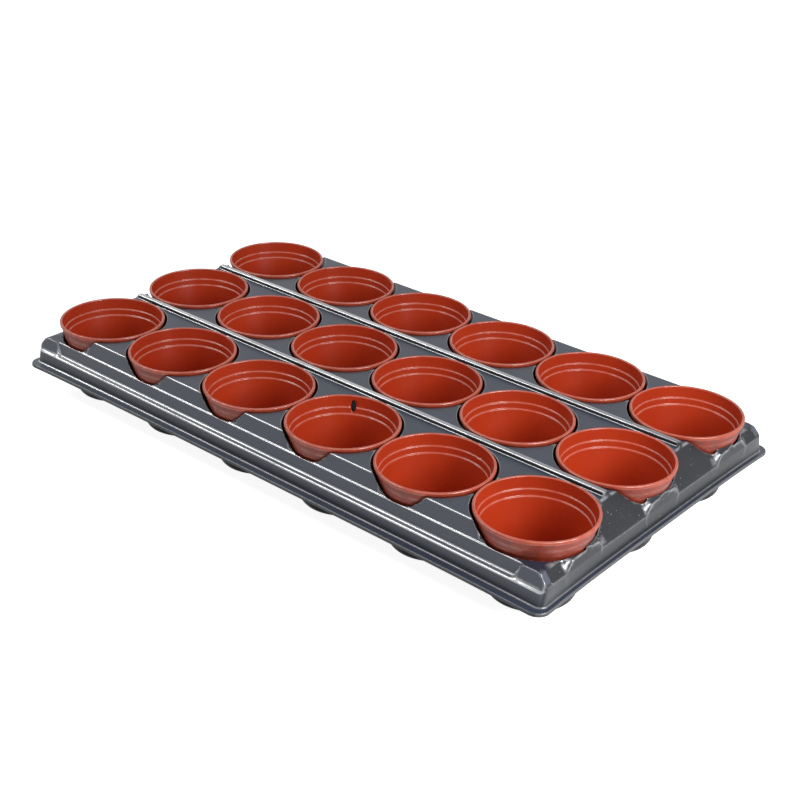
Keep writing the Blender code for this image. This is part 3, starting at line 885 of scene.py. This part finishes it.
class Flow:
    """One output of a material's node tree, on which sums and products add their Math nodes."""

    def __init__(self, tree, socket):
        self.tree = tree
        self.socket = socket

    def node(self, kind, settings, sockets, output=0):
        """Add a node of any type: its settings first, then the values or links of its sockets."""
        made = self.tree.nodes.new(kind)
        for key, value in settings.items():
            setattr(made, key, value)
        for key, value in sockets.items():
            if isinstance(value, Flow):
                self.tree.links.new(value.socket, made.inputs[key])
            else:
                made.inputs[key].default_value = value
        return Flow(self.tree, made.outputs[output])

    def maths(self, operation, first, second=0.0, clamp=False):
        """One Math node on two numbers or outputs."""
        settings = {"operation": operation, "use_clamp": clamp}
        return self.node("ShaderNodeMath", settings, {0: first, 1: second})

    def __abs__(self):
        return self.maths("ABSOLUTE", self)

    def __add__(self, other):
        return self.maths("ADD", self, other)

    def __radd__(self, other):
        return self.maths("ADD", other, self)

    def __sub__(self, other):
        return self.maths("SUBTRACT", self, other)

    def __rsub__(self, other):
        return self.maths("SUBTRACT", other, self)

    def __mul__(self, other):
        return self.maths("MULTIPLY", self, other)

    def __rmul__(self, other):
        return self.maths("MULTIPLY", other, self)

    def above(self, edge, width):
        """0 below the edge and 1 above it, over a soft width."""
        return self.maths("MULTIPLY", self - edge, 1.0 / width, clamp=True)

    def noise(self, scale, detail=2.0, stretch=None):
        """Even noise, 0 to 1, at this many waves to the metre, stretched along an axis if asked."""
        where = self
        if stretch is not None:
            where = self.node("ShaderNodeMapping", {}, {"Vector": self, "Scale": stretch})
        sockets = {"Vector": where, "Scale": scale, "Detail": detail}
        return self.node("ShaderNodeTexNoise", {}, sockets)

    def blend(self, first, second):
        """A colour that goes from first to second as this factor goes from 0 to 1."""
        sockets = {0: self, 6: first, 7: second}
        return self.node("ShaderNodeMix", {"data_type": "RGBA"}, sockets, output=2)

    def relief(self, strength):
        """Normals bent by this height, at most 0.2 mm deep."""
        sockets = {"Strength": strength, "Distance": 0.2 * MM, "Height": self}
        return self.node("ShaderNodeBump", {}, sockets)

    def attribute(self, label):
        """The number kept under that name on the mesh."""
        return self.node("ShaderNodeAttribute", {"attribute_name": label}, {}, output="Fac")

    def part(self, axis):
        """One of X, Y and Z of this place."""
        return self.node("ShaderNodeSeparateXYZ", {}, {"Vector": self}, output=axis)

    def ray(self, kind):
        """1 for rays of that kind, named as Light Path names them, and 0 for others."""
        return self.node("ShaderNodeLightPath", {}, {}, output=kind)


def plastic(name, constants):
    """A new plastic with its constants set on the shader, and its shader and object coordinates."""
    material = bpy.data.materials.new(name)
    material.use_nodes = True
    tree = material.node_tree
    shader = tree.nodes["Principled BSDF"]
    for key, value in constants.items():
        shader.inputs[key].default_value = value
    start = Flow(tree, None)
    place = start.node("ShaderNodeTexCoord", {}, {}, output="Object")
    return material, shader, place


def feed(shader, place, **sockets):
    """Link each finish to the shader's socket of that name, with spaces for underscores."""
    for key, flow in sockets.items():
        place.tree.links.new(flow.socket, shader.inputs[key.replace("_", " ")])


def tray_plastic(name, specular):
    """Dark recycled sheet: faint clouding, fine grain, dust and specks, with light and shade
    painted on.

    The level faces are paler and bluer, a painted reflection.  The long sides, the ends' skirt and
    the flange are paler, painted light, the long sides less so towards their foot, a painted shade
    there, and the flange less so towards the right end.  The edges are the palest, a painted
    highlight, with a clear gloss.
    """
    material, shader, place = plastic(name, {
        "IOR": 1.46, "Specular IOR Level": specular, "Specular Tint": (0.90, 0.95, 1.0, 1.0),
        "Coat Roughness": 0.14, "Coat IOR": 3.8})
    edge = place.attribute("edge")
    level = place.attribute("level")
    cloud = place.noise(11.0, 3.0)
    grain = place.noise(1500.0, 2.0)
    speckle = place.noise(420.0, 4.0)
    streaks = place.noise(95.0, 3.0, stretch=(0.18, 2.2, 2.2))
    along = place.part("X")
    across = abs(along)
    outward = abs(place.part("Y"))
    height = place.part("Z")
    steep = 1.0 - level

    clouding = cloud.above(0.35, 0.30)
    colour = clouding.blend((0.0065, 0.0070, 0.0095, 1.0), (0.0100, 0.0108, 0.0145, 1.0))
    # Painted reflection: the level faces are paler and bluer
    colour = level.blend(colour, (0.021, 0.029, 0.050, 1.0))
    dust = speckle.above(0.60, 0.10) * cloud.above(0.42, 0.25) * 0.30
    colour = dust.blend(colour, (0.085, 0.088, 0.095, 1.0))
    # Painted light on the long sides' steep faces, with painted shade towards their foot
    sides = outward.above(0.1395, 0.0008) * (1.0 - across.above(0.2695, 0.0012)) * steep
    sides = sides * (0.22 + height.above(0.0290, 0.0115) * 0.78)
    colour = sides.blend(colour, (0.086, 0.093, 0.117, 1.0))
    # Painted highlight on the flange's level top, fading towards the right end
    flange = level * (1.0 - height.above(0.0292, 0.0008)) * (1.0 - along.above(-0.08, 0.25) * 0.7)
    colour = flange.blend(colour, (0.075, 0.085, 0.115, 1.0))
    # Painted light on the ends' skirt, which is paler
    skirt = across.above(0.2704, 0.0012) * (1.0 - height.above(0.0425, 0.0012)) * steep
    colour = skirt.blend(colour, (0.085, 0.087, 0.095, 1.0))
    on_ends = across.above(0.2535, 0.001) * steep
    specks = place.noise(560.0, 1.0).above(0.745, 0.03) * on_ends * (1.0 - skirt)
    colour = specks.blend(colour, (0.30, 0.31, 0.34, 1.0))
    # Painted edge highlight: the rounded edges paler, in streaks, and given a clear gloss
    edge_highlight_and_gloss = edge * (0.55 + streaks.above(0.35, 0.30) * 0.45)
    colour = edge_highlight_and_gloss.blend(colour, (0.38, 0.39, 0.42, 1.0))

    roughness = 0.25 + streaks * 0.10 + dust * 0.25 + cloud * 0.06
    bumps = grain * 0.35 + speckle * 0.25
    relief = bumps.relief(0.12)
    feed(shader, place, Base_Color=colour, Roughness=roughness, Coat_Weight=edge_highlight_and_gloss, Normal=relief)
    return material


def pot_plastic():
    """Terracotta plastic: glossy inside, duller and browner outside, painted highlights on lip and
    bends.
    """
    material, shader, place = plastic("moulded terracotta", {
        "IOR": 1.49, "Coat Roughness": 0.12, "Coat IOR": 2.4})
    bend = place.attribute("bend")
    outer = place.attribute("outer side")
    lip = place.attribute("lip")
    cloud = place.noise(16.0, 2.0)
    mottle = place.noise(180.0, 3.0)
    grain = place.noise(1700.0, 2.0)
    flow = place.noise(140.0, 3.0, stretch=(1.0, 1.0, 0.12))
    colour = cloud.above(0.30, 0.40).blend((0.43, 0.034, 0.008, 1.0), (0.51, 0.046, 0.011, 1.0))
    # Darker, browner and mottled on the outer side, less so on the lip
    outer_tone = outer * (0.50 + mottle.above(0.40, 0.25) * 0.30) * (1.0 - lip * 0.5)
    colour = outer_tone.blend(colour, (0.15, 0.038, 0.026, 1.0))
    # Painted highlight: the lip's top is paler
    colour = (lip * 0.30).blend(colour, (0.56, 0.09, 0.04, 1.0))
    # Painted highlight on the crisp bends, stronger on the lip, with a clear gloss there
    bend_highlight_and_gloss = bend * (0.35 + flow.above(0.38, 0.25) * 0.65)
    colour = (bend_highlight_and_gloss * (0.20 + lip * 0.20)).blend(colour, (0.66, 0.17, 0.08, 1.0))
    roughness = 0.27 + flow * 0.08 + outer * 0.12 + mottle * 0.04
    bumps = grain * 0.3 + mottle * outer * 0.5 + flow * 0.3
    relief = bumps.relief(0.08)
    gloss = bend_highlight_and_gloss * 0.40 + 0.04
    feed(shader, place, Base_Color=colour, Roughness=roughness, Coat_Weight=gloss, Normal=relief)
    return material


def studio_floor():
    """A plain pale floor under the object, seen as white by the camera but for the shadow on it."""
    mesh = bpy.data.meshes.new("studio floor")
    corners = [(-6.0, -6.0, 0.0), (6.0, -6.0, 0.0), (6.0, 6.0, 0.0), (-6.0, 6.0, 0.0)]
    mesh.from_pydata(corners, [], [(0, 1, 2, 3)])
    floor = bpy.data.objects.new("studio floor", mesh)
    bpy.context.scene.collection.objects.link(floor)
    material = bpy.data.materials.new("pale floor")
    material.use_nodes = True
    tree = material.node_tree
    shader = tree.nodes["Principled BSDF"]
    shader.inputs["Base Color"].default_value = (0.82, 0.82, 0.82, 1.0)
    shader.inputs["Roughness"].default_value = 0.9
    shader.inputs["Specular IOR Level"].default_value = 0.0
    start = Flow(tree, None)
    mirrored = start.ray("Is Glossy Ray") + start.ray("Is Transmission Ray")
    shown = start.ray("Is Camera Ray") * FLOOR_SEEN + mirrored * FLOOR_MIRRORED
    tree.links.new(shown.socket, shader.inputs["Emission Strength"])
    shader.inputs["Emission Color"].default_value = (1.0, 1.0, 1.0, 1.0)
    mesh.materials.append(material)


def studio_world():
    """A white surround where it is seen or mirrored, and a dimmer one as light."""
    world = bpy.data.worlds.new("studio")
    bpy.context.scene.world = world
    world.use_nodes = True
    tree = world.node_tree
    start = Flow(tree, None)
    mirrored = start.ray("Is Glossy Ray") + start.ray("Is Transmission Ray")
    shown = start.ray("Is Camera Ray") + mirrored
    strength = AMBIENT + shown * (1.0 - AMBIENT)
    background = tree.nodes["Background"]
    background.inputs["Color"].default_value = (1.0, 1.0, 1.0, 1.0)
    tree.links.new(strength.socket, background.inputs["Strength"])


def soft_light(name, direction, distance, along, length, width, radiance):
    """A rectangular soft light of a given radiance in that direction from the tray, facing it.

    Its length runs along the given vector as nearly as facing the tray allows.
    """
    toward = Vector(direction).normalized()
    long_way = Vector(along) - toward * toward.dot(Vector(along))
    long_way.normalize()
    light = bpy.data.lights.new(name, "AREA")
    light.shape = "RECTANGLE"
    light.size = width
    light.size_y = length
    light.energy = radiance * math.pi * width * length
    lamp = bpy.data.objects.new(name, light)
    turn = Matrix((long_way.cross(toward), long_way, toward)).transposed().to_4x4()
    lamp.matrix_world = Matrix.Translation(Vector((0.0, 0.0, 0.05)) + toward * distance) @ turn
    bpy.context.scene.collection.objects.link(lamp)


def camera_view():
    """The photograph's camera: its turn, height, roll, distance and the place it looks past."""
    azimuth = math.radians(CAMERA_AZIMUTH)
    elevation = math.radians(CAMERA_ELEVATION)
    roll = math.radians(CAMERA_ROLL)
    level = math.cos(elevation)
    back = Vector((math.sin(azimuth) * level, -math.cos(azimuth) * level, math.sin(elevation)))
    right = Vector((math.cos(azimuth), math.sin(azimuth), 0.0))
    up = back.cross(right)
    across = math.cos(roll) * right + math.sin(roll) * up
    upward = math.cos(roll) * up - math.sin(roll) * right
    aim = Vector((0.0, 0.0, CAMERA_AIM_HEIGHT))
    place = back * CAMERA_DISTANCE + across * CAMERA_ACROSS - upward * CAMERA_DOWN + aim
    data = bpy.data.cameras.new("photograph")
    data.sensor_width = 36.0
    data.lens = CAMERA_LENS
    data.clip_start = 0.05
    data.clip_end = 50.0
    camera = bpy.data.objects.new("photograph", data)
    turn = Matrix((across, upward, back)).transposed().to_4x4()
    camera.matrix_world = Matrix.Translation(place) @ turn
    bpy.context.scene.collection.objects.link(camera)
    bpy.context.scene.camera = camera


camera_view()
studio_floor()
studio_world()
soft_light("front left window", direction=(-0.60, -0.50, 0.68), distance=1.55,
           along=(1.0, 0.0, 0.0), length=1.0, width=0.24, radiance=9.0)
soft_light("right window", direction=(0.85, -0.10, 0.50), distance=0.95,
           along=(0.0, 1.0, 0.0), length=0.50, width=0.44, radiance=9.6)

sheet_finish = tray_plastic("formed dark sheet", 0.5)
underside_finish = tray_plastic("dull underside of the sheet", 0.12)
pot_finish = pot_plastic()

tray = formed_tray()
tray.data.materials.append(sheet_finish)
tray.data.materials.append(underside_finish)
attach(tray, "tray")
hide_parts("tray")

forms = {slotted: turned_pot(slotted) for slotted in (False, True)}
for node in sorted(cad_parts):
    if not node.startswith("pot_"):
        continue
    pot = placed_pot(forms[node == SLOT_POT], node)
    pot.data.materials.append(pot_finish)
    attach(pot, node)
    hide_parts(node)
for form in forms.values():
    bpy.data.meshes.remove(form)

bpy.context.scene.view_settings.view_transform = "Standard"
